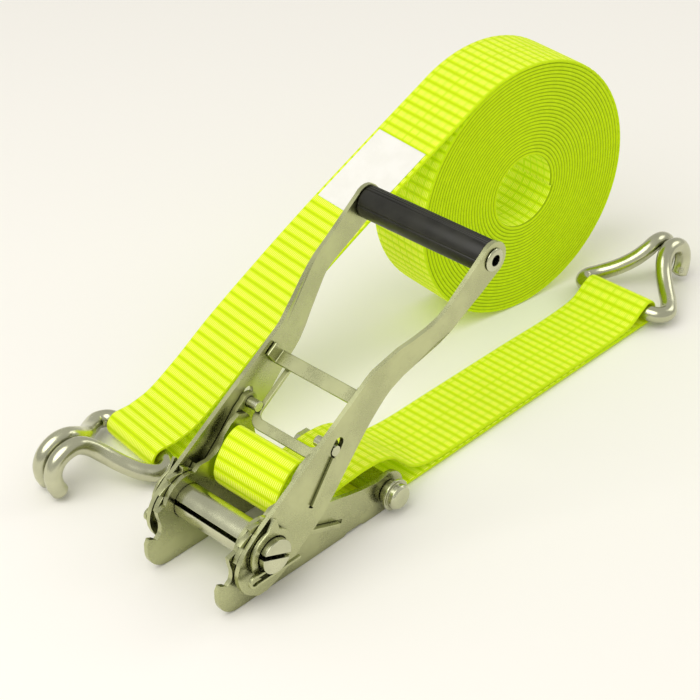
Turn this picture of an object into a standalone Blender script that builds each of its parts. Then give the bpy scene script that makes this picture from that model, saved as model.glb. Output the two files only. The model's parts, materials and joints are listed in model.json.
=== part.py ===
"""Ratchet tie down: a ratchet buckle with a short hooked strap, and a long hooked strap rolled up beside it.

X runs from the mandrel to the anchor bolt, Y to the buckle's left plate and Z up, with the ground at 0.
Every size in the script is in millimetres and becomes metres in the helpers.
"""

import math

import bmesh
import bpy
from mathutils import Matrix, Vector

MM = 0.001
GAP = 0.3                      # between neighbouring pieces

# The whole object's bottom centre, measured from the point of the ground below the mandrel axis
CENTRE_X, CENTRE_Y = 203.5, 51.86

# Buckle
MANDREL_Z = 34.5               # height of the mandrel axis over the ground
PLATE_IN, PLATE_OUT = 27.0, 30.0
WHEEL_IN, WHEEL_OUT = 30.4, 33.7
ARM_IN, ARM_T = 34.1, 2.8
MANDREL_R = 10.5
MANDREL_HALF_LENGTH = 44.5
SLIT_HALF, SLIT_ANGLE = 1.3, math.radians(-23)
WHEEL_TIP, WHEEL_ROOT, TEETH = 20.6, 17.0, 12
BOLT_X, BOLT_Z, BOLT_R = 104.0, 12.5, 5.0

# Handle, along the arm (s) and across it (n)
HANDLE_ANGLE = math.radians(34.5)
GRIP_S, GRIP_R, ARM_END_R = 203.4, 10.0, 10.8
FLARE_START, FLARE_END, FLARE = 107.0, 162.0, 12.4
PIN_S, PIN_N, PIN_R = 65.5, 1.8, 3.3
CHANNEL_ANGLE = math.radians(20.5)
PAWL_TRAVEL = 4.0
LEG_BOSS_R = 5.8
CROSSBAR_S, CROSSBAR_W, CROSSBAR_T, FLANGE = 96.5, 9.0, 2.5, 11.0

# Base pawl, in the plane that slopes down from the wheels
PAWL_X, PAWL_Z, PAWL_SLOPE = 20.5, -5.0, math.radians(21.3)
PAWL_T, PAWL_LENGTH, EAR_LENGTH = 3.0, 43.0, 18.5

# Webbing and hooks
WEB_W, WEB_T = 50.0, 3.0
WIRE_R = 5.5
BAR_Z = WIRE_R + 0.5 + WEB_T + GAP       # height of a hook's bar in its webbing loop
LOOP_R = WIRE_R + 0.5 + WEB_T / 2
SHORT_BAR_X = 368.0
LONG_BAR_X, LONG_BAR_Y, LONG_YAW = 40.0, 115.0, math.radians(-7.2)
ROLL_U, ROLL_R, ROLL_BORE = 293.0, 89.0, 22.5
LABEL_FROM, LABEL_TO, LABEL_W, LABEL_T = 157.0, 208.0, 44.0, 0.6


def clear_scene():
    for obj in list(bpy.data.objects):
        bpy.data.objects.remove(obj, do_unlink=True)


def collection(name):
    made = bpy.data.collections.new(name)
    bpy.context.scene.collection.children.link(made)
    return made


def material(name, colour, roughness, metallic):
    made = bpy.data.materials.new(name)
    made.use_nodes = True
    shader = made.node_tree.nodes["Principled BSDF"]
    shader.inputs["Base Color"].default_value = (*colour, 1.0)
    shader.inputs["Roughness"].default_value = roughness
    shader.inputs["Metallic"].default_value = metallic
    return made


clear_scene()
PARTS = collection("ratchet_tie_down")
CUTTERS = collection("cutters")
STEEL = (0.62, 0.62, 0.52)
WEBBING = (0.72, 0.95, 0.0)


# Helpers


def empty(name, parent=None, place=(0, 0, 0), turn=(0, 0, 0)):
    made = bpy.data.objects.new(name, None)
    made.location = Vector(place) * MM
    made.rotation_euler = turn
    made.parent = parent
    PARTS.objects.link(made)
    return made


def add(name, data, parent, place=(0, 0, 0), turn=(0, 0, 0), colour=STEEL, roughness=0.35, metallic=1.0):
    """A named piece with its own material, placed in its parent's frame."""
    obj = bpy.data.objects.new(name, data)
    obj.parent = parent
    obj.location = Vector(place) * MM
    obj.rotation_euler = turn
    PARTS.objects.link(obj)
    data.materials.append(material(name, colour, roughness, metallic))
    return obj


def arc(x, z, radius, start, stop, steps):
    """Points on a circle round (x, z), from one angle in degrees to another."""
    angles = [math.radians(start + (stop - start) * i / steps) for i in range(steps + 1)]
    return [(x + radius * math.cos(a), z + radius * math.sin(a)) for a in angles]


def turned_points(points, angle):
    """The points turned about (0, 0)."""
    c, s = math.cos(angle), math.sin(angle)
    return [(c * x - s * z, s * x + c * z) for x, z in points]


def smooth(points, step, closed=False):
    """A smooth curve through the points (of 2 or 3 numbers), about one point every step."""
    pts = [Vector(p) for p in points]
    count = len(pts)
    sampled = []
    for i in range(count if closed else count - 1):
        b, c = pts[i], pts[(i + 1) % count]
        a = pts[i - 1] if closed or i else 2 * b - c
        d = pts[(i + 2) % count] if closed or i + 2 < count else 2 * c - b
        length = (c - b).length
        before, after = max((b - a).length, 1e-6), max((d - c).length, 1e-6)
        start = ((b - a) / before + (c - b) / length) * 0.5 * length
        stop = ((c - b) / length + (d - c) / after) * 0.5 * length
        parts = max(1, round(length / step))
        for k in range(parts):
            t = k / parts
            sampled.append((2 * t**3 - 3 * t**2 + 1) * b + (t**3 - 2 * t**2 + t) * start
                           + (3 * t**2 - 2 * t**3) * c + (t**3 - t**2) * stop)
    if not closed:
        sampled.append(pts[-1])
    return [tuple(p) for p in sampled]


def outline(name, loops, thickness):
    """A flat plate: the first loop is its edge and the others its holes, in the curve's XY plane."""
    curve = bpy.data.curves.new(name, "CURVE")
    curve.dimensions = "2D"
    curve.fill_mode = "BOTH"
    curve.extrude = thickness / 2 * MM
    for loop in loops:
        spline = curve.splines.new("POLY")
        spline.points.add(len(loop) - 1)
        for point, (x, y) in zip(spline.points, loop):
            point.co = (x * MM, y * MM, 0, 1)
        spline.use_cyclic_u = True
    return curve


UPRIGHT = (math.pi / 2, 0, 0)     # turns a curve's XY plane into the XZ plane
ALONG_Y = (-math.pi / 2, 0, 0)    # turns Z, the axis of a turned piece, into Y


def plate(name, loops, y_from, y_to, side, parent, **look):
    """A plate that stands in the XZ plane between two distances from the middle, on one side."""
    middle = side * (y_from + y_to) / 2
    return add(name, outline(name, loops, y_to - y_from), parent, (0, middle, 0), UPRIGHT, **look)


def as_mesh(obj):
    """The curve object made a mesh object of the same name and place, its caps welded."""
    bpy.context.view_layer.update()
    evaluated = obj.evaluated_get(bpy.context.evaluated_depsgraph_get())
    mesh = bpy.data.meshes.new_from_object(evaluated)
    work = bmesh.new()
    work.from_mesh(mesh)
    bmesh.ops.remove_doubles(work, verts=work.verts, dist=1e-6)
    work.to_mesh(mesh)
    work.free()
    name, parent, place, turn = obj.name, obj.parent, obj.location.copy(), obj.rotation_euler.copy()
    bpy.data.objects.remove(obj, do_unlink=True)
    made = bpy.data.objects.new(name, mesh)
    made.parent, made.location, made.rotation_euler = parent, place, turn
    PARTS.objects.link(made)
    return made


def box(name, size, parent, place, turn=(0, 0, 0), cutter=False):
    """A plain block of the given size about its middle."""
    mesh = bpy.data.meshes.new(name)
    work = bmesh.new()
    bmesh.ops.create_cube(work, size=1.0, matrix=Matrix.Diagonal((*(v * MM for v in size), 1.0)))
    work.to_mesh(mesh)
    work.free()
    if not cutter:
        return add(name, mesh, parent, place, turn)
    obj = bpy.data.objects.new(name, mesh)
    obj.parent = parent
    obj.location = Vector(place) * MM
    obj.rotation_euler = turn
    obj.hide_render = True
    obj.display_type = "WIRE"
    CUTTERS.objects.link(obj)
    return obj


def boolean(obj, other, operation):
    made = obj.modifiers.new(operation.lower(), "BOOLEAN")
    made.operation = operation
    made.object = other


def turned(name, profile, parent, place=(0, 0, 0), turn=ALONG_Y, steps=32, **look):
    """A turned piece: a closed profile of (radius, height), its outer side listed from top to bottom."""
    mesh = bpy.data.meshes.new(name)
    work = bmesh.new()
    points = [work.verts.new((r * MM, 0, h * MM)) for r, h in profile]
    for i, point in enumerate(points):
        work.edges.new((point, points[(i + 1) % len(points)]))
    work.to_mesh(mesh)
    work.free()
    obj = add(name, mesh, parent, place, turn, **look)
    screw = obj.modifiers.new("turn", "SCREW")
    screw.axis = "Z"
    screw.steps = screw.render_steps = steps
    screw.use_merge_vertices = True
    screw.merge_threshold = 0.00001
    return obj


def ring(name, inner, outer, y_from, y_to, side, parent, place=(0, 0), **look):
    """A washer or bush between two distances from the middle, its axis along Y through (x, z)."""
    half = (y_to - y_from) / 2
    profile = [(outer, half), (outer, -half), (inner, -half), (inner, half)]
    return turned(name, profile, parent, (place[0], side * (y_from + y_to) / 2, place[1]), **look)


def wire(name, points, radius, parent, place=(0, 0, 0), turn=(0, 0, 0), **look):
    """A round wire along the points."""
    curve = bpy.data.curves.new(name, "CURVE")
    curve.dimensions = "3D"
    curve.bevel_depth = radius * MM
    curve.bevel_resolution = 2
    curve.use_fill_caps = True
    spline = curve.splines.new("POLY")
    spline.points.add(len(points) - 1)
    for point, co in zip(spline.points, points):
        point.co = (*(v * MM for v in co), 1)
    return add(name, curve, parent, place, turn, **look)


def coil(name, radius, wire_radius, length, turns, parent, place, turn):
    """A compression spring along its own X axis, from the origin."""
    steps = 9 * turns
    points = [
        (wire_radius + (length - 2 * wire_radius) * i / steps,
         radius * math.cos(2 * math.pi * i / 9), radius * math.sin(2 * math.pi * i / 9))
        for i in range(steps + 1)
    ]
    obj = wire(name, points, wire_radius, parent, place, turn)
    obj.data.bevel_resolution = 1
    return obj


def strip(name, path, width, thickness, parent, place=(0, 0, 0), closed=False, **look):
    """A strip of the given width along Y, bent along a path of (x, z) points at its middle."""
    mesh = bpy.data.meshes.new(name)
    work = bmesh.new()
    rows = [[work.verts.new((x * MM, y * width / 2 * MM, z * MM)) for y in (-1, 1)] for x, z in path]
    for i in range(len(rows) if closed else len(rows) - 1):
        here, there = rows[i], rows[(i + 1) % len(rows)]
        work.faces.new((here[0], there[0], there[1], here[1]))
    work.to_mesh(mesh)
    work.free()
    obj = add(name, mesh, parent, place, **look)
    solid = obj.modifiers.new("thickness", "SOLIDIFY")
    solid.thickness = thickness * MM
    solid.offset = 0
    solid.use_even_offset = True
    return obj


# Frame


def along_slope(distance, lift=0.0):
    """A point of the base pawl's plane, at a distance behind its tip and a height over its middle."""
    c, s = math.cos(PAWL_SLOPE), math.sin(PAWL_SLOPE)
    return PAWL_X + distance * c + lift * s, PAWL_Z - distance * s + lift * c


def frame_outline():
    """Edge of a side plate, about the mandrel axis: front lobe, stop tooth, cam ear, tail and bolt lobe."""
    bolt_z = BOLT_Z - MANDREL_Z
    lobe = arc(-17, -20, 14.5, -90, -180, 8) + [(-31.4, -14.4), (-29.6, -11.2), (-26.4, -12.8)]
    stop = smooth([(-24.4, -14.6), (-21.4, -12.4), (-20.4, -6.4), (-21.8, -1.2), (-22.5, 3.4)], 3)
    collar = arc(0, 0, 17, 163, 68, 8)
    cam = smooth([(10.5, 18.5), (17, 18.2), (23, 20), (27, 23.5), (29.5, 29), (35, 34), (41.5, 37.2),
                  (47, 35.6), (51.2, 28), (53.4, 17), (53, 6), (50.5, -1.2)], 5)
    tail = smooth([(65, -5), (81, -9), (96, -11.2)], 9)
    bolt_lobe = arc(BOLT_X, bolt_z, 12.5, 84, -88, 12)
    foot = [(83, -34.5), (81, -33), (69, -33), (67, -34.5)]
    return lobe + stop + collar + cam + tail + bolt_lobe + foot


def pawl_slot():
    """Slot of a side plate in which the base pawl slides."""
    half = PAWL_T / 2 + 0.35
    start, stop = EAR_LENGTH - GAP, PAWL_LENGTH + PAWL_TRAVEL + 0.5
    return [along_slope(start, -half), along_slope(stop, -half), along_slope(stop, half),
            along_slope(start, half)]


def build_frame(mandrel, root):
    bolt_z = BOLT_Z - MANDREL_Z
    loops = [frame_outline(), arc(0, 0, MANDREL_R + GAP, 0, 348, 29), pawl_slot(),
             arc(BOLT_X, bolt_z, BOLT_R + GAP, 0, 345, 23)]
    for side, word in ((1, "left"), (-1, "right")):
        plate(f"frame_plate_{word}", loops, PLATE_IN, PLATE_OUT, side, mandrel)
        ring(f"anchor_spacer_{word}", BOLT_R + GAP, 7.5, PLATE_OUT + GAP, 34.4, side, mandrel,
             (BOLT_X, bolt_z))
    shaft = [(0, 43.5), (BOLT_R, 43.5), (BOLT_R, -34.7), (10.0, -34.7), (10.0, -36.4), (8.0, -36.4),
             (8.0, -39.6), (6.6, -41.0), (0, -41.0)]
    turned("anchor_bolt", shaft, mandrel, (BOLT_X, 0, bolt_z))
    nut = [(8.6 * math.cos(math.pi / 3 * i), 8.6 * math.sin(math.pi / 3 * i)) for i in range(6)]
    hole = arc(0, 0, BOLT_R + GAP, 0, 345, 23)
    add("anchor_nut", outline("anchor_nut", [nut, hole], 6.0), mandrel, (BOLT_X, 37.9, bolt_z), UPRIGHT)
    ring("anchor_bush", BOLT_R + GAP, 8.0, -(PLATE_IN - GAP), PLATE_IN - GAP, 1, mandrel,
         (BOLT_X, bolt_z))
    seat_x, seat_z = along_slope(59.3)
    box("base_spring_seat", (2.0, 2 * (PLATE_IN - GAP), 6.0), mandrel, (seat_x, 0, seat_z),
        (0, PAWL_SLOPE, 0))
    start_x, start_z = along_slope(PAWL_LENGTH + GAP)
    for side, word in ((1, "left"), (-1, "right")):
        coil(f"base_spring_{word}", 2.0, 0.45, 14.7, 6, mandrel, (start_x, side * 12, start_z),
             (0, PAWL_SLOPE, 0))


def build_base_pawl(slide):
    """The sliding plate that stops the wheels: a bar through both side plates with an ear at each end."""
    inner, outer = WHEEL_IN, WHEEL_OUT
    back, ear = PAWL_LENGTH, EAR_LENGTH
    edge = [(0, -outer), (back, -outer), (back, outer), (0, outer), (0, inner), (ear, inner),
            (ear, -inner), (0, -inner)]
    add("base_pawl", outline("base_pawl", [edge], PAWL_T), slide, (0, 0, 0), (0, PAWL_SLOPE, 0))


# Mandrel


def half_moon(sign, radius, flat):
    """One half of a round bar that is slit along its length."""
    lean = math.degrees(math.asin(flat / radius))
    points = arc(0, 0, radius, lean, 180 - lean, 14)
    return turned_points([(x, sign * z) for x, z in points], SLIT_ANGLE)


def wheel_outline():
    """Ratchet wheel: each tooth rises along a ramp and drops straight to the root."""
    points = []
    ramp = 3
    for tooth in range(TEETH):
        start = 2 * math.pi * tooth / TEETH
        for k in range(ramp + 1):
            angle = start + 2 * math.pi / TEETH * k / ramp * 0.94
            radius = WHEEL_ROOT + (WHEEL_TIP - WHEEL_ROOT) * k / ramp
            points.append((radius * math.cos(angle), radius * math.sin(angle)))
    return points


def split_pin_path():
    """A flat split pin: a long leg, an eye and a shorter leg beside it."""
    eye = arc(-15.5, -9.2, 3.3, -60, -300, 10)
    return [(19, -12), (-13.8, -12)] + eye[1:-1] + [(-13.8, -6.4), (10.5, -6.4)]


def build_mandrel(mandrel):
    cut = box("split_pin_slot", (60, 2.8, 8.6), mandrel, (0, -42.2, -9.2), cutter=True)
    cut_left = box("split_pin_slot_left", (60, 2.8, 8.6), mandrel, (0, 42.2, -9.2), cutter=True)
    for sign, word in ((1, "upper"), (-1, "lower")):
        name = f"mandrel_half_{word}"
        shape = half_moon(sign, MANDREL_R, SLIT_HALF)
        half = plate(name, [shape], -MANDREL_HALF_LENGTH, MANDREL_HALF_LENGTH, 1, mandrel)
        half = as_mesh(half)
        boolean(half, cut, "DIFFERENCE")
        boolean(half, cut_left, "DIFFERENCE")
    holes = [half_moon(sign, MANDREL_R + GAP, SLIT_HALF - GAP) for sign in (1, -1)]
    clip = arc(0, 0, 15.2, 118, 428, 26)
    clip = clip + [(4.0, 21.5), (2.2, 22.5), (-2.5, 15.6)]
    clip_hole = arc(0, 0, MANDREL_R + 0.6, 0, 345, 23)
    for side, word in ((1, "left"), (-1, "right")):
        plate(f"ratchet_wheel_{word}", [wheel_outline()] + holes, WHEEL_IN, WHEEL_OUT, side, mandrel)
        ring(f"mandrel_washer_{word}", MANDREL_R + GAP, 14.2, ARM_IN + ARM_T + GAP, 38.4, side, mandrel)
        plate(f"retaining_clip_{word}", [clip, clip_hole], 38.7, 40.6, side, mandrel)
        strip(f"split_pin_{word}", split_pin_path(), 2.2, 1.8, mandrel, (0, side * 42.2, 0))


# Handle


def channel(distance, across=0.0):
    """A point of the arm's pawl channel, at a distance below the pin and across the channel."""
    c, s = math.cos(CHANNEL_ANGLE), math.sin(CHANNEL_ANGLE)
    return PIN_S - distance * c - across * s, PIN_N - distance * s + across * c


def arm_outline():
    lobe = smooth([(-21.9, -17.7), (-26, -5.5), (-22.5, 7.5), (-12.5, 14.6), (2.3, 16.6)], 4)
    front = [(60, 15.4), (112, 14.2)]
    neck = smooth([(130, 13.0), (150, 10.0), (166, 9.0), (184, 9.7), (196, 10.3)], 9)[:-1]
    end = arc(GRIP_S, 0, ARM_END_R, 105, -105, 12)
    back = smooth([(186, -9.3), (163, -6.6), (140, -6.6), (113.4, -8), (91, -10.4), (70.8, -15.3),
                   (42.9, -22.8), (28, -25.0), (15, -24.6), (-3, -24.8), (-16, -21.8)], 8)
    return lobe + front + neck + end + back


def channel_outline():
    """Pawl channel with a long round end for the pin and its travel."""
    turn = math.degrees(CHANNEL_ANGLE)
    radius, width = PIN_R + 0.6, 1.8
    top_s, top_n = channel(-PAWL_TRAVEL - 0.4)
    lean = math.degrees(math.asin(width / radius))
    round_end = arc(top_s, top_n, radius, turn + 90, turn - 90, 8)
    before = arc(PIN_S, PIN_N, radius, turn + 90, turn + 180 - lean, 4)
    after = arc(PIN_S, PIN_N, radius, turn - 180 + lean, turn - 90, 4)
    low = [channel(34.8, -width), channel(34.8, width)]
    return round_end + after[::-1] + low + before[::-1]


def flare(mesh, side):
    """Bends an arm outwards between the two stations, so that the grip is wider than the frame."""
    work = bmesh.new()
    work.from_mesh(mesh)
    for station in (FLARE_START, FLARE_START + 5, FLARE_END - 5, FLARE_END):
        geometry = work.verts[:] + work.edges[:] + work.faces[:]
        bmesh.ops.bisect_plane(work, geom=geometry, plane_co=(station * MM, 0, 0), plane_no=(1, 0, 0),
                               dist=1e-7)
    span = FLARE_END - FLARE_START
    for vert in work.verts:
        share = min(1.0, max(0.0, (vert.co.x / MM - FLARE_START) / span))
        # the curve's own Z points to -Y once it stands upright
        vert.co.z -= side * FLARE * MM * share * share * (3 - 2 * share)
    work.to_mesh(mesh)
    work.free()


def leg_outline():
    """Pawl leg: a boss round the pin, and a finger that reaches down beside the wheel."""
    boss = arc(PIN_S, PIN_N, LEG_BOSS_R, 120, -75, 10)
    finger = smooth([(55, -7.4), (46, -10.4), (38, -10.2), (30, -6.8), (24.5, -4.6)], 5)
    tip = [(22.9, -3.6), (22.7, -1.2)]
    top = smooth([(26, 0.6), (36, 2.0), (48, 4.6), (58, 6.9)], 6)
    return boss + finger + tip + top


def build_handle(handle):
    loops = [arm_outline(), arc(0, 0, MANDREL_R + 0.4, 0, 348, 29),
             arc(GRIP_S, 0, 5.3, 0, 340, 17), channel_outline()]
    for side, word in ((1, "left"), (-1, "right")):
        arm = as_mesh(plate(f"handle_arm_{word}", loops, ARM_IN, ARM_IN + ARM_T, side, handle))
        flare(arm.data, side)
    half, inner = ARM_IN - GAP, ARM_IN - GAP - CROSSBAR_T
    shape = [(-half, FLANGE), (-half, 0), (half, 0), (half, FLANGE), (inner, FLANGE),
             (inner, CROSSBAR_T), (-inner, CROSSBAR_T), (-inner, FLANGE)]
    crossbar = outline("crossbar", [shape], CROSSBAR_W)
    # the outline's X lies along Y, its Y across the arm and its thickness along the arm
    add("crossbar", crossbar, handle, (CROSSBAR_S, 0, GAP), (math.pi / 2, 0, math.pi / 2))
    top_in = ARM_IN + FLARE
    sleeve_end = top_in - GAP
    sleeve = [(GRIP_R - 1, sleeve_end), (GRIP_R, sleeve_end - 1), (GRIP_R, 1 - sleeve_end),
              (GRIP_R - 1, -sleeve_end), (5.3, -sleeve_end), (5.3, sleeve_end)]
    turned("grip_sleeve", sleeve, handle, (GRIP_S, 0, 0), colour=(0.02, 0.02, 0.02), roughness=0.5,
           metallic=0.0)
    out = top_in + ARM_T + GAP
    rod = [(5.6, out + 1.6), (7.0, out + 0.8), (7.0, out), (5.0, out), (5.0, -out), (7.0, -out),
           (7.0, -out - 0.8), (5.6, -out - 1.6), (3.4, -out - 1.6), (3.4, out + 1.6)]
    turned("grip_rod", rod, handle, (GRIP_S, 0, 0), steps=24)


def build_pawl_spring(handle):
    """The return spring, between the right leg's boss and the crossbar's flange."""
    start, stop = PIN_S + LEG_BOSS_R + GAP, CROSSBAR_S - CROSSBAR_W / 2 - GAP
    layer = (WHEEL_IN + WHEEL_OUT) / 2
    coil("pawl_spring", 1.1, 0.4, stop - start, 8, handle, (start, -layer, PIN_N + 1.6), (0, 0, 0))


def build_handle_pawl(pawl):
    """Two legs beside the wheels, joined by the pins and the pull loop. The frame is the handle's."""
    pin_hole = arc(PIN_S, PIN_N, PIN_R + GAP, 0, 340, 17)
    ear_s, ear_n = channel(18.6)
    for side, word in ((1, "left"), (-1, "right")):
        leg = as_mesh(plate(f"pawl_leg_{word}", [leg_outline(), pin_hole], WHEEL_IN, WHEEL_OUT, side, pawl))
        ear = box(f"pawl_ear_{word}", (29.4, 5.4, 3.0), pawl, (ear_s, side * (WHEEL_OUT + 2.1), ear_n),
                  (0, -CHANNEL_ANGLE, 0), cutter=True)
        boolean(leg, ear, "UNION")
        ring_half = (37.6 - 22.8) / 2
        profile = [(0, ring_half), (PIN_R, ring_half), (PIN_R, -ring_half), (0, -ring_half)]
        turned(f"pawl_pin_{word}", profile, pawl, (PIN_S, side * (22.8 + 37.6) / 2, PIN_N), steps=20)
    half, corner, limb = PLATE_IN - 0.8, 8.0, 3.4
    low, high = 54.3, 95.0
    outer = ([(high, -half)] + arc(low + corner, -half + corner, corner, 270, 180, 6)
             + arc(low + corner, half - corner, corner, 180, 90, 6) + [(high, half)])
    inner_corner, bar = corner - limb, 6.5
    inside = ([(high, half - limb)]
              + arc(low + bar + inner_corner, half - limb - inner_corner, inner_corner, 90, 180, 5)
              + arc(low + bar + inner_corner, -half + limb + inner_corner, inner_corner, 180, 270, 5)
              + [(high, -half + limb)])
    add("pull_loop", outline("pull_loop", [outer + inside], 2.0), pawl, (0, 0, -2.9))


# Straps and hooks


def hook_route():
    """Middle of a double-J hook's wire, away from the bar (u), across (v) and over the ground (w)."""
    half = [(0, 8, BAR_Z), (0, 17, BAR_Z), (0, 25.6, BAR_Z), (2.6, 31.5, 9.2), (8.8, 33.95, 9.2),
            (16.5, 29.4, 10.6), (25, 20.6, 15.0), (33, 12.2, 21.6), (40, 7.4, 27.6), (47, 5.9, 31.0),
            (54.5, 5.9, 30.4), (61.4, 5.9, 26.0), (64.91, 6.1, 18.8), (64.4, 6.5, 11.0),
            (60.8, 7.0, 3.6)]
    return [(u, -v, w) for u, v, w in half[::-1]] + half


def build_hook(name, bar, away):
    """A hook whose bar lies on the joint's axis and which points along +X or -X of that frame."""
    route = smooth([(away * u, v, w - BAR_Z) for u, v, w in hook_route()], 4.2)
    wire(name, route, WIRE_R, bar, roughness=0.2)


def short_strap_path():
    """Middle of the sewn loop: along the ground, up over the base pawl, back over the bolt to the hook."""
    base = 0.3 + WEB_T / 2
    upper = base + WEB_T + 0.6
    there = smooth([(300, base), (118, base), (107, base + 0.1), (98, base + 0.7), (88, 6.0), (79, 12.4), (66, 16.6),
                    (50, 22.2), (37, 27.4), (28.5, 31.2), (22.4, 35.6), (19.0, 42), (19.6, 49.5),
                    (24.5, 58), (31.5, 64.6), (38, 66.4), (43.6, 60.6), (48.0, 51), (50.2, 41.5),
                    (52.6, 34), (60, 31.0), (75, 31.6), (91, 32.4), (104, 31.2), (114, 27.6),
                    (122, 20.5), (131, 12.4), (143, 7.6), (158, upper + 0.3), (200, upper),
                    (335, upper), (350, 7.6), (360, 13.6)], 5)
    loop = arc(SHORT_BAR_X, BAR_Z, LOOP_R, 106, -90, 12)
    return there + loop


def free_run():
    """Middle of the long strap where it comes down through the air from the roll to the hook."""
    angle = math.radians(123)
    radius = ROLL_R + WEB_T / 2 + GAP
    touch = (ROLL_U + radius * math.cos(angle), ROLL_R + radius * math.sin(angle))
    return smooth([touch, (206, 141.5), (149, 107.6), (109, 82), (70, 55.4), (42, 34), (22, 21.4),
                   (9, 17.4)], 9)


def run_path():
    """The free run, the loop round the hook's bar and the way back to the sewn end."""
    loop = arc(0, BAR_Z, LOOP_R, 88, 270, 12)
    back = smooth([(12, 2.2), (26, 9.0), (42, 24.0), (56, 38.6), (70, 50.2), (86, 61.4)], 7)
    return free_run() + loop + back


def label_path():
    """Middle of the label, which lies on the free run."""
    under = [p for p in free_run() if LABEL_FROM < p[0] < LABEL_TO]
    lift = (WEB_T + LABEL_T) / 2 + GAP
    raised = []
    for i, (x, z) in enumerate(under):
        before, after = under[max(i - 1, 0)], under[min(i + 1, len(under) - 1)]
        along = Vector((before[0] - after[0], before[1] - after[1])).normalized()
        raised.append((x - lift * along.y, z + lift * along.x))
    return raised


def build_short_strap(root):
    strip("short_strap", short_strap_path(), WEB_W, WEB_T, root, closed=True, colour=WEBBING,
          roughness=0.7, metallic=0.0)


def build_long_strap(strap):
    strip("long_strap", run_path(), WEB_W, WEB_T, strap, colour=WEBBING, roughness=0.7, metallic=0.0)
    half = WEB_W / 2
    profile = [(ROLL_R, half), (ROLL_R, -half), (ROLL_BORE, -half), (ROLL_BORE, half)]
    turned("webbing_roll", profile, strap, (ROLL_U, 0, ROLL_R), steps=72, colour=WEBBING,
           roughness=0.7, metallic=0.0)
    strip("sewn_label", label_path(), LABEL_W, LABEL_T, strap, colour=(0.9, 0.9, 0.88), roughness=0.6,
          metallic=0.0)


def main():
    root = empty("tie_down", place=(-CENTRE_X, -CENTRE_Y, 0))
    mandrel = empty("mandrel_axis", root, (0, 0, MANDREL_Z))
    build_frame(mandrel, root)
    build_base_pawl(empty("base_pawl_slide", mandrel, (PAWL_X, 0, PAWL_Z)))
    build_mandrel(mandrel)
    handle = empty("handle_axis", mandrel, turn=(0, -HANDLE_ANGLE, 0))
    build_handle(handle)
    build_pawl_spring(handle)
    build_handle_pawl(empty("handle_pawl_slide", handle))
    build_short_strap(root)
    build_hook("short_hook", empty("short_hook_axis", root, (SHORT_BAR_X, 0, BAR_Z)), 1)
    strap = empty("long_strap_axis", root, (LONG_BAR_X, LONG_BAR_Y, 0), (0, 0, LONG_YAW))
    build_long_strap(strap)
    build_hook("long_hook", empty("long_hook_axis", strap, (0, 0, BAR_Z)), -1)
    for obj in PARTS.objects:
        if obj.type == "MESH":
            obj.data.shade_smooth()
            obj.data.set_sharp_from_angle(angle=math.radians(30))


main()
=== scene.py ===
"""Looks of the ratchet tie down: webbing, hooks, grip, metal surfaces, floor, light and camera."""

import json
import math

import bmesh
import bpy
import numpy as np
from mathutils import Matrix, Vector


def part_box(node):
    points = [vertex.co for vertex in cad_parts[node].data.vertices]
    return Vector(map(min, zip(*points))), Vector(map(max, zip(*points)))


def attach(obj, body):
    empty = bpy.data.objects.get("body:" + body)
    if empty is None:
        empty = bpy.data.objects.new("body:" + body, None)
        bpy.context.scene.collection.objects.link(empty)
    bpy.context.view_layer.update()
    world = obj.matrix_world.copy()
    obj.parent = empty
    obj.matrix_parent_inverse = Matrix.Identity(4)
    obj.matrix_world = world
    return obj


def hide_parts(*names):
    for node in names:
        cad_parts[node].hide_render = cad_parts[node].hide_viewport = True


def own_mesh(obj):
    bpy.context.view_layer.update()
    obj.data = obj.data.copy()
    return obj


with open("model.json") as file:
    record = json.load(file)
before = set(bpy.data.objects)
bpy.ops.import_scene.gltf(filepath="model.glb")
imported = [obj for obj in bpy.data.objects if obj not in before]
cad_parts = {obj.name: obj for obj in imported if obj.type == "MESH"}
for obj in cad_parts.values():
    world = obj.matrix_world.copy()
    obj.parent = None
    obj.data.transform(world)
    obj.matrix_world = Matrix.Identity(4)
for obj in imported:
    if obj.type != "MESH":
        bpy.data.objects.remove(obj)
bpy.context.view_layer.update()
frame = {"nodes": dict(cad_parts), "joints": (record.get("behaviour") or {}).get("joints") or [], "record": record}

MM = 0.001
JOINTS = {joint["name"]: joint for joint in frame["joints"]}
NODE_BODY = {node: body for body, nodes in frame["record"]["behaviour"]["bodies"].items() for node in nodes}
NODE_SLOT = {row["node"]: row["material_slot"] for row in frame["record"]["subparts"]}
MANDREL = Vector(JOINTS["handle_swing"]["pos_m"])
SHORT_BAR = Vector(JOINTS["short_hook_swing"]["pos_m"])
LONG_BAR = Vector(JOINTS["long_hook_swing"]["pos_m"])
BAR_AXIS = Vector(JOINTS["long_hook_swing"]["axis"])

# Sizes, millimetres
WEB_W, WEB_T = 50.0, 1.9
CAD_WEB_T, CAD_GAP = 3.0, 0.3   # the CAD's webbing is thicker, and its middle line is followed here
RIB_PITCH, RIB_HEIGHT = 6.4, 0.21
YARN_PITCH, WEFT_PITCH, CHECK_PITCH = 1.35, 0.9, 6.4
SELVEDGE = 1.1                  # width over which the webbing thins out to its edge
FINE_STEP, COARSE_STEP = 0.9, 3.0   # between the points of a path
LABEL_W, LABEL_T, LABEL_SELVEDGE = 44.0, 0.45, 0.3
LABEL_FROM, LABEL_TO = 157.0, 208.0   # along the ground from the long hook's bar
LABEL_LIFT, LABEL_YARN = 0.35, 0.5
WIRE_R, WIRE_SIDES = 5.5, 24
BAR_Z = SHORT_BAR.z / MM
LOOP_R = 7.5                    # middle of the webbing round a hook's bar
SHORT_BAR_X = (SHORT_BAR.x - MANDREL.x) / MM
ROLL_LOW, ROLL_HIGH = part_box("webbing_roll")
ROLL_R = (ROLL_HIGH.z - ROLL_LOW.z) / 2 / MM
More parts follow.
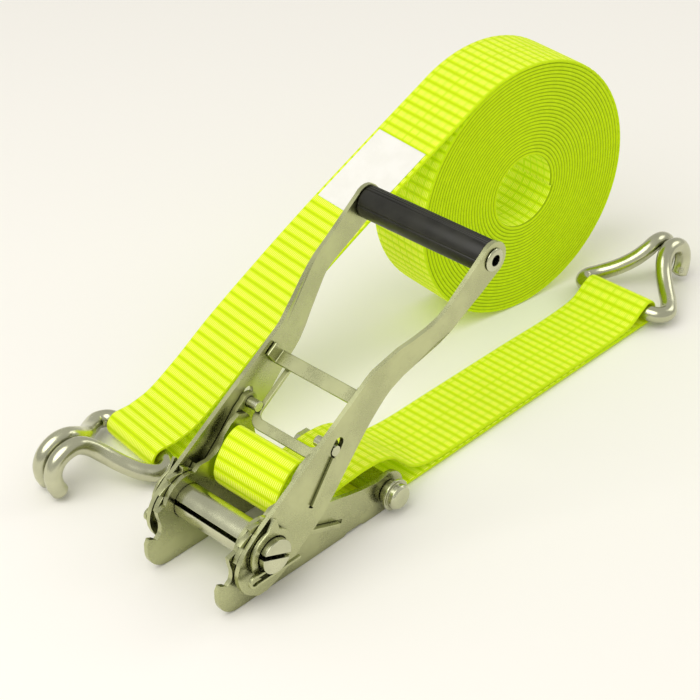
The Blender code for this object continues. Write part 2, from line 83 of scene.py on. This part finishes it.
ROLL_BORE, BORE_TO_TURN = 22.5, 1.5   # bore's radius, and from there to the innermost turn's middle
ROLL_PITCH = 2.42
JOIN = 7                        # the rolled turns' point where the free run ends
TOUCH_ANGLE = 123               # degrees round the roll, where the free run meets it
COVERED_FROM = 980.0            # along the long strap from its sewn end; from here on turns cover it
HANDLE_ANGLE = math.radians(34.5)
GRIP_S, GRIP_R, GRIP_BORE = 203.4, 10.0, 5.3
GRIP_FLUTES = (56, 68, 80, 92, 104, 268, 280, 292, 304, 316)   # degrees round the grip
GRIP_GROOVE = 170


def columns(x, y, z, origin):
    """The matrix whose axes are x, y and z, at the origin given."""
    made = Matrix.Identity(4)
    for i, axis in enumerate((x, y, z)):
        for k in range(3):
            made[k][i] = axis[k]
    made.translation = origin
    return made


UP = Vector((0, 0, 1))
GROUND_FRAME = Matrix.Translation((MANDREL.x, MANDREL.y, 0))
STRAP_FRAME = columns(BAR_AXIS.cross(UP), BAR_AXIS, UP, Vector((LONG_BAR.x, LONG_BAR.y, 0)))
HANDLE_FRAME = Matrix.Translation(MANDREL) @ Matrix.Rotation(-HANDLE_ANGLE, 4, "Y")
ROLL_U = (STRAP_FRAME.inverted() @ ((ROLL_LOW + ROLL_HIGH) / 2)).x / MM


# Curves


def arc(x, z, radius, start, stop, steps):
    """Points on a circle round (x, z), from one angle in degrees to another."""
    angles = [math.radians(start + (stop - start) * i / steps) for i in range(steps + 1)]
    return [(x + radius * math.cos(a), z + radius * math.sin(a)) for a in angles]


def smooth(points, step, closed=False):
    """A smooth curve through the points (of 2 or 3 numbers), about one point every step."""
    pts = [Vector(p) for p in points]
    count = len(pts)
    sampled = []
    for i in range(count if closed else count - 1):
        b, c = pts[i], pts[(i + 1) % count]
        a = pts[i - 1] if closed or i else 2 * b - c
        d = pts[(i + 2) % count] if closed or i + 2 < count else 2 * c - b
        length = (c - b).length
        before, after = max((b - a).length, 1e-6), max((d - c).length, 1e-6)
        start = ((b - a) / before + (c - b) / length) * 0.5 * length
        stop = ((c - b) / length + (d - c) / after) * 0.5 * length
        parts = max(1, round(length / step))
        for k in range(parts):
            t = k / parts
            sampled.append((2 * t**3 - 3 * t**2 + 1) * b + (t**3 - 2 * t**2 + t) * start
                           + (3 * t**2 - 2 * t**3) * c + (t**3 - t**2) * stop)
    if not closed:
        sampled.append(pts[-1])
    return [tuple(p) for p in sampled]


def short_strap_route():
    """Middle of the short strap's sewn loop, as in the CAD, over the ground below the mandrel axis."""
    base = CAD_GAP + CAD_WEB_T / 2
    upper = base + CAD_WEB_T + 2 * CAD_GAP
    route = [(300, base), (200, base), (118, base), (107, base + 0.1), (98, base + 0.7), (88, 6.0),
             (79, 12.4), (66, 16.6), (50, 22.2), (37, 27.4), (28.5, 31.2), (22.4, 35.6), (19.0, 42),
             (19.6, 49.5), (24.5, 58), (31.5, 64.6), (38, 66.4), (43.6, 60.6), (48.0, 51),
             (50.2, 41.5), (52.6, 34), (60, 31.0), (75, 31.6), (91, 32.4), (104, 31.2), (114, 27.6),
             (122, 20.5), (131, 12.4), (143, 7.6), (158, upper + 0.3), (200, upper), (270, upper),
             (335, upper), (350, 7.6), (360, 13.6)]
    return smooth(route, FINE_STEP) + arc(SHORT_BAR_X, BAR_Z, LOOP_R, 106, -90, 26)


def rolled_turns():
    """Middle of the rolled turns, wound inwards from where the free run meets them."""
    outer = ROLL_R - 0.5 * WEB_T - RIB_HEIGHT
    turns = (outer - ROLL_BORE - BORE_TO_TURN) / ROLL_PITCH
    points = []
    angle = 0.0
    while angle < turns * 360:
        # the radius at the lowest point of the first turn is the outer one, so the roll stands on it
        radius = outer - ROLL_PITCH * (angle - TOUCH_ANGLE - 90) / 360
        a = math.radians(TOUCH_ANGLE - angle)
        points.append((ROLL_U + radius * math.cos(a), ROLL_R + radius * math.sin(a)))
        step = FINE_STEP if angle < 400 else COARSE_STEP  # past the turn that is seen from outside
        angle += math.degrees(step / radius)
    return points


def free_run(turns):
    """The strap up through the air from the hook's bar, as far as the first points of the roll."""
    return smooth([(9, 17.4), (22, 21.4), (42, 34), (70, 55.4), (109, 82), (149, 107.6), (206, 141.5),
                   turns[0], turns[JOIN]], FINE_STEP)


def long_strap_route():
    """Sewn end, loop round the hook's bar, free run up through the air, and the roll."""
    tail = smooth([(86, 61.4), (70, 50.2), (56, 38.6), (42, 24.0), (26, 9.0), (12, 2.2)], FINE_STEP)
    loop = arc(0, BAR_Z, LOOP_R, 270, 88, 26)
    turns = rolled_turns()
    return tail + loop + free_run(turns) + turns[JOIN + 2:]


def hook_route():
    """Middle of a double-J hook's wire, away from the bar (u), across (v) and over the ground (w)."""
    half = [(0, 8, BAR_Z), (0, 17, BAR_Z), (0, 25.6, BAR_Z), (2.6, 31.5, 9.2), (8.8, 33.95, 9.2),
            (16.5, 29.4, 10.6), (25, 20.6, 15.0), (33, 12.2, 21.6), (40, 7.4, 27.6), (47, 5.9, 31.0),
            (54.5, 5.9, 30.4), (61.4, 5.9, 26.0), (64.91, 6.1, 18.8), (64.4, 6.5, 11.0), (62, 6.8, 5.4)]
    return smooth([(u, -v, w) for u, v, w in half[::-1]] + half, 1.0)


# Materials


class Shader:
    """A Principled material whose nodes are added one call at a time."""

    def __init__(self, name, **sockets):
        self.material = bpy.data.materials.new(name)
        self.material.use_nodes = True
        self.tree = self.material.node_tree
        self.out = self.tree.nodes["Principled BSDF"]
        for socket, value in sockets.items():
            self.out.inputs[socket.replace("_", " ")].default_value = value

    def node(self, kind, *inputs, **settings):
        """A new shader node with its first inputs and its settings."""
        made = self.tree.nodes.new("ShaderNode" + kind)
        for key, value in settings.items():
            setattr(made, key, value)
        for i, value in enumerate(inputs):
            self.put(made.inputs[i], value)
        return made

    def put(self, socket, value):
        """Links or sets an input; None leaves it alone."""
        if value is None:
            return
        if isinstance(value, bpy.types.NodeSocket):
            self.tree.links.new(value, socket)
        else:
            socket.default_value = value

    def math(self, operation, a, b=None, c=None):
        return self.node("Math", a, b, c, operation=operation).outputs[0]

    def ramp(self, value, low, high, start=0.0, stop=1.0):
        """value between low and high, spread smoothly from start to stop."""
        made = self.node("MapRange", interpolation_type="SMOOTHSTEP")
        for socket, item in zip(made.inputs, (value, low, high, start, stop)):
            self.put(socket, item)
        return made.outputs[0]

    def mix(self, share, a, b):
        """Colour a, or b where share is 1."""
        made = self.node("Mix", data_type="RGBA")
        for socket, item in ((0, share), (6, a), (7, b)):  # the colour sockets of a Mix node
            self.put(made.inputs[socket], item)
        return made.outputs[2]

    def wave(self, distance, pitch):
        """A sine along a distance in metres, its pitch in millimetres."""
        return self.math("SINE", self.math("MULTIPLY", distance, 2 * math.pi / (pitch * MM)))

    def clouds(self, scale, low, high, detail=2.0):
        """Soft patches between 0 and 1, which stay on their piece."""
        return self.ramp(self.noise(self.place(), scale, detail), low, high)

    def noise(self, place, scale, detail=2.0):
        """Noise whose patches are about 1 / scale metres wide."""
        made = self.node("TexNoise")
        self.put(made.inputs["Vector"], place)
        made.inputs["Scale"].default_value = scale
        made.inputs["Detail"].default_value = detail
        return made.outputs[0]

    def place(self, kind="Object"):
        """Coordinates on the object, or another kind such as UV."""
        return self.node("TexCoord").outputs[kind]

    def bump(self, height, distance, strength=1.0):
        made = self.node("Bump")
        made.inputs["Strength"].default_value = strength
        made.inputs["Distance"].default_value = distance
        self.put(made.inputs["Height"], height)
        self.put(self.out.inputs["Normal"], made.outputs[0])


def webbing_material():
    """Fluorescent ribbed polyester: cross ribs, fine warp yarns, a faint check on the rolled part, and painted
    glow, highlight and shade.
    """
    # painted glow: a weak constant yellow emission stands in for the dye's fluorescence
    s = Shader("webbing", Roughness=0.78, Specular_IOR_Level=0.2, Sheen_Weight=0.1,
               Sheen_Roughness=0.4, Emission_Strength=0.11)
    s.out.inputs["Sheen Tint"].default_value = (0.9, 1.0, 0.5, 1)
    s.out.inputs["Emission Color"].default_value = (0.85, 1.0, 0.0, 1)
    parts = s.node("SeparateXYZ", s.place("UV"))
    across, along = parts.outputs[0], parts.outputs[1]
    rib, yarn = s.wave(along, RIB_PITCH), s.wave(across, YARN_PITCH)
    weft, check = s.wave(along, WEFT_PITCH), s.wave(across, CHECK_PITCH)
    body = s.mix(s.clouds(60, 0.35, 0.7), (0.63, 0.83, 0.0, 1), (0.68, 0.88, 0.0, 1))
    # painted shade: a darker yellow in the grooves between the ribs
    colour = s.mix(s.ramp(rib, -0.72, -0.99), body, (0.50, 0.70, 0.0, 1))
    # painted highlight: pale lines along the yarns on the ribs' crests
    uneven = s.math("MULTIPLY", s.noise(s.place(), 900, 1), 0.6)
    thread = s.ramp(s.math("ADD", yarn, uneven), 0.1, 1.0)
    crest_highlight = s.math("MULTIPLY", thread, s.ramp(rib, -0.7, 0.4))
    colour = s.mix(crest_highlight, colour, (0.95, 1.0, 0.18, 1))
    # lengthwise lines, from the free run on
    line = s.math("MULTIPLY", s.ramp(check, 0.82, 0.99), s.ramp(along, 0.30, 0.40, 0.0, 0.8))
    colour = s.mix(line, colour, (0.50, 0.76, 0.0, 1))
    # painted shade: dark lines where the pressed turns meet near their edges, and a darker copy of the yellow on
    # the side faces
    from_middle = s.math("ABSOLUTE", across)
    half = WEB_W / 2
    gap_shade = s.ramp(from_middle, (half - 2.2) * MM, (half - 1.2) * MM)
    covered = s.ramp(along, COVERED_FROM * MM, (COVERED_FROM + 50) * MM)
    colour = s.mix(s.math("MULTIPLY", gap_shade, covered), colour, (0.22, 0.34, 0.0, 1))
    # painted shade: the side faces take a darker copy of the webbing's yellow
    side = s.mix(s.clouds(260, 0.3, 0.75), (0.47, 0.67, 0.0, 1), (0.53, 0.74, 0.0, 1))
    edge = s.ramp(from_middle, (half - 0.75) * MM, (half - 0.25) * MM)
    s.put(s.out.inputs["Base Color"], s.mix(edge, colour, side))
    s.bump(s.math("ADD", s.math("MULTIPLY", yarn, 0.5), s.math("MULTIPLY", weft, 0.18)), 0.00025, 0.8)
    return s.material


def metal_material(name, colour, roughness, grain):
    """Zinc-plated steel: mottled plating, fine grain, duller clouds, and painted shade in narrow corners."""
    s = Shader(name, Metallic=1.0)
    cloud, fleck = s.clouds(45, 0.35, 0.7, 3), s.clouds(1300, 0.3, 0.7)
    shade_colour, dark, light = (tuple(k * c for c in colour) + (1,) for k in (0.5, 0.86, 1.07))
    # painted shade: narrow corners darkened by ambient occlusion
    corner_shade = s.node("AmbientOcclusion", samples=16)
    corner_shade.inputs["Distance"].default_value = 10 * MM
    tone = s.mix(s.ramp(corner_shade.outputs["AO"], 0.25, 0.9), shade_colour, s.mix(cloud, dark, light))
    s.put(s.out.inputs["Base Color"], s.mix(s.math("MULTIPLY", fleck, 0.2), tone, light))
    rough = s.math("ADD", roughness, s.math("MULTIPLY", cloud, 0.07))
    s.put(s.out.inputs["Roughness"], s.math("ADD", rough, s.math("MULTIPLY", fleck, 0.05)))
    s.bump(s.noise(s.place(), 2200, 1), 0.000012 * grain, 0.5)
    return s.material


def grip_material():
    """Black moulded plastic with a fine spark-eroded grain."""
    s = Shader("grip", Specular_IOR_Level=0.35)
    cloud = s.clouds(70, 0.3, 0.7, 3)
    s.put(s.out.inputs["Base Color"], s.mix(cloud, (0.012, 0.012, 0.008, 1), (0.022, 0.022, 0.015, 1)))
    s.put(s.out.inputs["Roughness"], s.math("ADD", 0.36, s.math("MULTIPLY", cloud, 0.12)))
    s.bump(s.noise(s.place(), 1800, 2), 0.00003, 0.6)
    return s.material


def label_material():
    """White woven label cloth."""
    s = Shader("label", Roughness=0.65, Sheen_Weight=0.15)
    parts = s.node("SeparateXYZ", s.place("UV"))
    warp, weft = (s.wave(parts.outputs[i], LABEL_YARN) for i in (0, 1))
    tone = s.mix(s.clouds(80, 0.3, 0.7), (0.90, 0.89, 0.83, 1), (0.94, 0.93, 0.88, 1))
    s.put(s.out.inputs["Base Color"], tone)
    s.bump(s.math("MULTIPLY", warp, weft), 0.00004, 0.7)
    return s.material


WEBBING = webbing_material()
SHEET_STEEL = metal_material("zinc_plate", (0.51, 0.53, 0.29), 0.23, 1.0)
BRIGHT_STEEL = metal_material("bright_pins", (0.60, 0.61, 0.42), 0.18, 0.5)
HOOK_STEEL = metal_material("hook_wire", (0.58, 0.585, 0.41), 0.18, 0.5)
GRIP = grip_material()
LABEL = label_material()


# Meshes


def piece(name, work, material, body, nodes):
    """The finished mesh as a piece that rides on a body and stands for CAD nodes."""
    bmesh.ops.recalc_face_normals(work, faces=work.faces)
    mesh = bpy.data.meshes.new(name)
    work.to_mesh(mesh)
    work.free()
    mesh.materials.append(material)
    mesh.shade_smooth()
    obj = bpy.data.objects.new(name, mesh)
    bpy.context.scene.collection.objects.link(obj)
    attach(obj, body)
    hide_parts(*nodes)
    return obj


def path_frames(path):
    """Each point of a path in the plane of x and z, its normal, and its distance along the path."""
    points = np.array(path, float)
    tangent = np.empty_like(points)
    tangent[1:-1] = points[2:] - points[:-2]
    tangent[0] = points[1] - points[0]
    tangent[-1] = points[-1] - points[-2]
    tangent /= np.linalg.norm(tangent, axis=1)[:, None]
    normal = np.stack([-tangent[:, 1], tangent[:, 0]], axis=1)
    distance = np.concatenate([[0], np.cumsum(np.linalg.norm(np.diff(points, axis=0), axis=1))])
    return points, normal, distance


def webbing_section(width, thickness, selvedge):
    """Distances across the strap, and the half thickness there, thinning to its edges."""
    half = width / 2
    edge = [0.0, 0.12, 0.45, 1.0]
    outer = [half - selvedge * e for e in edge] + [half * 0.8, half * 0.5, half * 0.2]
    across = np.array([-v for v in outer] + outer[::-1])
    into = np.clip((half - np.abs(across)) / selvedge, 0, 1)
    return across, thickness / 2 * np.sqrt(1 - (1 - into) ** 2)


def cloth_strip(path, place, width, thickness, selvedge, rib_height=0.0, closed=False, packed_from=1e6):
    """A closed mesh along a path, with rounded edges and cross ribs, and the path's length.

    UVs are metres across and along. From packed_from on the turns press on each other, with no ribs
    and no gaps between them.
    """
    points, normal, distance = path_frames(path)
    across, half = webbing_section(width, thickness, selvedge)
    rib = rib_height * np.clip(2.2 * np.sin(2 * math.pi * distance / RIB_PITCH) + 1.3, -1, 1)
    free = distance < packed_from
    rib = np.where(free, rib, 0.0)
    swell = np.where(free, 1.0, 0.99 * ROLL_PITCH / thickness)
    inner = np.clip((width / 2 - np.abs(across)) / (2 * selvedge), 0, 1)
    count = len(across)
    work = bmesh.new()
    # a ring goes across on one side of the path and back on the other
    around = [(k, 1) for k in range(count)] + [(k, -1) for k in range(count - 2, 0, -1)]
    rings = []
    for i in range(len(points)):
        ring = []
        for k, sign in around:
            lift = sign * (half[k] * swell[i] + rib[i] * inner[k])
            x, z = points[i] + lift * normal[i]
            ring.append(work.verts.new(place @ Vector((x * MM, across[k] * MM, z * MM))))
        rings.append(ring)
    if closed:
        distance = np.append(distance, distance[-1] + np.linalg.norm(points[0] - points[-1]))
    uv = work.loops.layers.uv.new("UVMap")
    for i in range(len(distance) - 1):
        here, there = rings[i], rings[(i + 1) % len(rings)]
        for k, (this, _) in enumerate(around):
            m = (k + 1) % len(around)
            following = around[m][0]
            face = work.faces.new((here[k], there[k], there[m], here[m]))
            corners = ((this, i), (this, i + 1), (following, i + 1), (following, i))
            for loop, (column, row) in zip(face.loops, corners):
                loop[uv].uv = (across[column] * MM, distance[row] * MM)
    if not closed:
        for ring in (rings[0], rings[-1]):
            work.faces.new(ring)
    return work, float(distance[-1])


def sweep(points, radius, sides, place):
    """A round wire along the points, its ends rounded."""
    pts = [Vector(p) for p in points]
    work = bmesh.new()
    side = Vector((0, 0, 1))
    rings = []
    rounding = (0.35, 0.8, 1.0)  # steps from the middle of an end to its full width
    for i, point in enumerate(pts):
        tangent = (pts[min(i + 1, len(pts) - 1)] - pts[max(i - 1, 0)]).normalized()
        side = (side - tangent * side.dot(tangent)).normalized()
        other = tangent.cross(side)
        steps, out = (1.0,), 0
        if i == 0:
            steps, out = rounding, -1
        elif i == len(pts) - 1:
            steps, out = rounding[::-1], 1
        for step in steps:
            centre = point + tangent * out * (1 - step) * 0.5 * radius
            ring_radius = radius * math.sin(step * math.pi / 2)
            ring = []
            for a in np.linspace(0, 2 * math.pi, sides, False):
                offset = ring_radius * (math.cos(a) * side + math.sin(a) * other)
                ring.append(work.verts.new(place @ ((centre + offset) * MM)))
            rings.append(ring)
    for here, there in zip(rings, rings[1:]):
        for k in range(sides):
            work.faces.new((here[k], there[k], there[(k + 1) % sides], here[(k + 1) % sides]))
    work.faces.new(rings[0])
    work.faces.new(rings[-1])
    return work


def make_straps():
    """Both straps, each one closed sheet of webbing."""
    work, length = cloth_strip(short_strap_route(), GROUND_FRAME, WEB_W, WEB_T, SELVEDGE, RIB_HEIGHT, True)
    short = piece("short_strap_webbing", work, WEBBING, "frame", ["short_strap"])
    work, length = cloth_strip(long_strap_route(), STRAP_FRAME, WEB_W, WEB_T, SELVEDGE, RIB_HEIGHT,
                               packed_from=COVERED_FROM)
    long = piece("long_strap_webbing", work, WEBBING, "long_strap",
                 ["long_strap", "webbing_roll"])


def make_label():
    """The blank label, flat on the free run."""
    under = [p for p in free_run(rolled_turns()) if LABEL_FROM < p[0] < LABEL_TO]
    points, normal, _ = path_frames(under)
    raised = points + normal * (WEB_T / 2 + RIB_HEIGHT + LABEL_LIFT)
    work, length = cloth_strip(raised, STRAP_FRAME, LABEL_W, LABEL_T, LABEL_SELVEDGE)
    label = piece("label_cloth", work, LABEL, "long_strap", ["sewn_label"])


def make_hooks():
    """The two hooks' wires, which point away from their straps."""
    forward = GROUND_FRAME @ Matrix.Translation((SHORT_BAR_X * MM, 0, 0))
    for hook, away, place in (("short_hook", 1, forward), ("long_hook", -1, STRAP_FRAME)):
        route = [(away * u, v, w) for u, v, w in hook_route()]
        work = sweep(route, WIRE_R, WIRE_SIDES, place)
        piece(hook + "_wire", work, HOOK_STEEL, hook, [hook])


def grip_radius(angle):
    """Outer radius of the grip's section: fine flutes above and below, and one groove between."""
    degrees = math.degrees(angle) % 360
    radius = GRIP_R
    for flute in GRIP_FLUTES:
        radius -= 0.7 * math.exp(-((degrees - flute) / 2.2) ** 2)
    return radius - 0.5 * math.exp(-((degrees - GRIP_GROOVE) / 2.0) ** 2)


def make_grip():
    """The ribbed sleeve, a fluted section along Y with a bore."""
    low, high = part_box("grip_sleeve")
    half = (high.y - low.y) / 2 / MM
    centre = HANDLE_FRAME @ Vector((GRIP_S * MM, 0, 0))
    place = Matrix.Translation((centre.x, (high.y + low.y) / 2, centre.z))
    work = bmesh.new()
    angles = np.linspace(0, 2 * math.pi, 180, False)
    # each ring's place along Y and how far it is drawn in; the last two are the bore's
    stations = [(-half, 0.9), (-half + 0.3, 0.35), (-half + 0.9, 0), (half - 0.9, 0),
                (half - 0.3, 0.35), (half, 0.9), (half, None), (-half, None)]
    rings = []
    for y, inset in stations:
        ring = []
        for a in angles:
            radius = GRIP_BORE if inset is None else grip_radius(a) - inset
            ring.append(work.verts.new(place @ (Vector((radius * math.cos(a), y,
                                                        radius * math.sin(a))) * MM)))
        rings.append(ring)
    for here, there in zip(rings, rings[1:] + rings[:1]):
        for k in range(len(angles)):
            m = (k + 1) % len(angles)
            work.faces.new((here[k], there[k], there[m], here[m]))
    grip = piece("grip_ribbed", work, GRIP, "handle", ["grip_sleeve"])
    grip.data.set_sharp_from_angle(angle=math.radians(50))


METALS = {"zinc_plate": SHEET_STEEL, "bright_pins": BRIGHT_STEEL}
EDGE_R = {"mandrel_half_upper": 0.5, "mandrel_half_lower": 0.5, "crossbar": 0.6, "base_pawl": 0.4}
PLAIN_EDGE_R = 0.35
BASE_SLOPE = Vector(JOINTS["base_pawl_slide"]["axis"])
HANDLE_LINE = Vector((math.cos(HANDLE_ANGLE), 0, math.sin(HANDLE_ANGLE)))
# each spring's joint, its direction towards its fixed end, and its share left at the joint's limit
SPRINGS = {"base_spring_left": ("base_pawl_slide", BASE_SLOPE, 0.71),
           "base_spring_right": ("base_pawl_slide", BASE_SLOPE, 0.71),
           "pawl_spring": ("handle_pawl_slide", HANDLE_LINE, 0.77)}


def make_metal():
    """Every steel piece, its CAD form with pressed or turned edges."""
    for node, obj in frame["nodes"].items():
        slot = NODE_SLOT[node]
        if slot not in METALS:
            continue
        work = bmesh.new()
        work.from_mesh(obj.data)
        bmesh.ops.remove_doubles(work, verts=work.verts, dist=1e-6)
        bmesh.ops.dissolve_limit(work, angle_limit=math.radians(1.0), verts=work.verts, edges=work.edges)
        made = piece(node + "_steel", work, METALS[slot], NODE_BODY[node], [node])
        made.data.set_sharp_from_angle(angle=math.radians(60))
        if node in SPRINGS:
            press_spring(made, *SPRINGS[node])
        else:
            round_edges(made, EDGE_R.get(node, PLAIN_EDGE_R))


def press_spring(spring, joint, along, keep):
    """Gives a spring a mesh of its own."""
    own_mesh(spring)


def round_edges(made, radius):
    """Small rounded edges, and flat faces that stay flat in the light."""
    bevel = made.modifiers.new("edges", "BEVEL")
    bevel.width = radius * MM
    bevel.segments = 2
    bevel.limit_method = "ANGLE"
    bevel.angle_limit = math.radians(38)
    bevel.use_clamp_overlap = True
    made.modifiers.new("normals", "WEIGHTED_NORMAL").keep_sharp = False


# Stage


WARM_WHITE = (1.0, 0.985, 0.95)


def make_floor():
    """A pale floor, just under the object."""
    s = Shader("floor", Roughness=0.9)
    cloud = s.clouds(1.5, 0.2, 0.8)
    s.put(s.out.inputs["Base Color"], s.mix(cloud, (0.955, 0.935, 0.885, 1), (0.96, 0.94, 0.89, 1)))
    mesh = bpy.data.meshes.new("floor")
    work = bmesh.new()
    bmesh.ops.create_grid(work, x_segments=2, y_segments=2, size=8.0)
    work.to_mesh(mesh)
    work.free()
    mesh.materials.append(s.material)
    floor = bpy.data.objects.new("floor", mesh)
    floor.location = (0, 0, -0.4 * MM)
    bpy.context.scene.collection.objects.link(floor)


def make_light():
    """Soft light from all round, a wide lamp over the -X side and a small weak one opposite."""
    world = bpy.data.worlds.new("studio")
    bpy.context.scene.world = world
    world.use_nodes = True
    sky = world.node_tree.nodes["Background"]
    sky.inputs["Color"].default_value = (*WARM_WHITE, 1)
    sky.inputs["Strength"].default_value = 0.62
    lamp(name="key", place=(-1.15, 0.0, 1.6), size=1.9, power=21)
    lamp(name="side", place=(1.3, -0.6, 1.0), size=0.9, power=3.5)
    bpy.context.scene.view_settings.view_transform = "Standard"


def lamp(name, place, size, power):
    """A round area lamp that looks at the object."""
    light = bpy.data.lights.new(name, "AREA")
    light.shape = "DISK"
    light.size = size
    light.energy = power
    light.color = WARM_WHITE
    obj = bpy.data.objects.new(name, light)
    obj.location = place
    obj.rotation_euler = (Vector((0, 0, 0.05)) - Vector(place)).to_track_quat("-Z", "Y").to_euler()
    bpy.context.scene.collection.objects.link(obj)


def make_camera():
    """A long lens, looking down from the front left, placed from the mandrel."""
    down, turn = 0.5945, 0.813  # radians below the horizon, and from +Y towards +X
    place = Vector((MANDREL.x - 0.5366, MANDREL.y - 0.6057, 0.6934))
    forward = Vector((math.cos(down) * math.sin(turn), math.cos(down) * math.cos(turn), -math.sin(down)))
    right = Vector((math.cos(turn), -math.sin(turn), 0))
    data = bpy.data.cameras.new("camera")
    data.lens = 96.6
    data.sensor_width = 36.0
    data.clip_start, data.clip_end = 0.05, 20.0
    obj = bpy.data.objects.new("camera", data)
    obj.matrix_world = columns(right, right.cross(forward), -forward, place)
    bpy.context.scene.collection.objects.link(obj)
    bpy.context.scene.camera = obj


def main():
    make_camera()
    make_floor()
    make_light()
    make_straps()
    make_label()
    make_hooks()
    make_grip()
    make_metal()


main()
